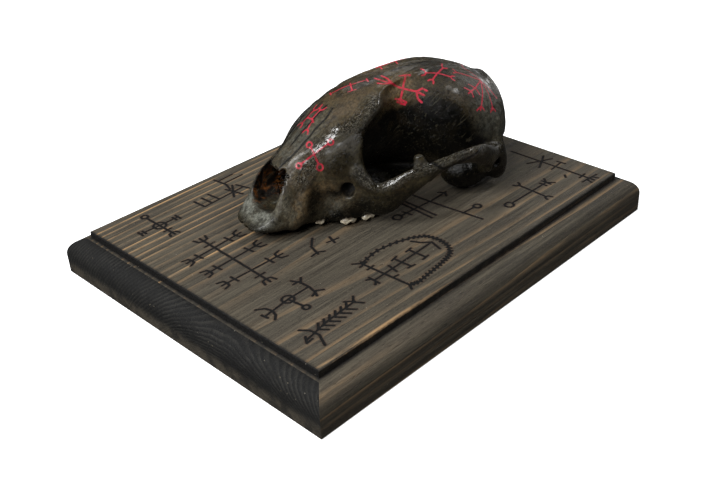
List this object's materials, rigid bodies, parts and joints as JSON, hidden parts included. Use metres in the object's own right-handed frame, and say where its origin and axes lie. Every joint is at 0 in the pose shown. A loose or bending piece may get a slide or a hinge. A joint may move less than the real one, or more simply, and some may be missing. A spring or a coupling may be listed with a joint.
{
  "type": "raccoon skull wall hanging",
  "caption": "Raccoon skull without its lower jaw, dark varnished and painted with red staves, laid along a routed wooden plaque that hangs on a wall.",
  "frame": {"origin": "centre of the plaque's back face, which is the bottom of the part as it lies on its back", "axes": "+X along the plaque's long side and grain, from the snout's end to the back of the skull; +Z out of the wall, through the plaque to the crown of the skull"},
  "size_m": [0.19, 0.148, 0.0707],
  "materials": {
    "stained_wood": "pine with raised grain, stained and scorched dark, satin, with burnt line marks",
    "varnished_bone": "bone stained dark olive brown under glossy varnish, with red painted line marks",
    "tooth_enamel": "ivory enamel with brown stains, under the same varnish"
  },
  "bodies": {
    "root": {"plaque": "stained_wood", "cranium": "varnished_bone", "left_premolar_2": "tooth_enamel", "left_premolar_4": "tooth_enamel", "left_molar_1": "tooth_enamel", "left_molar_2": "tooth_enamel", "right_premolar_2": "tooth_enamel", "right_premolar_4": "tooth_enamel", "right_molar_1": "tooth_enamel", "right_molar_2": "tooth_enamel"}
  },
  "joints": []
}
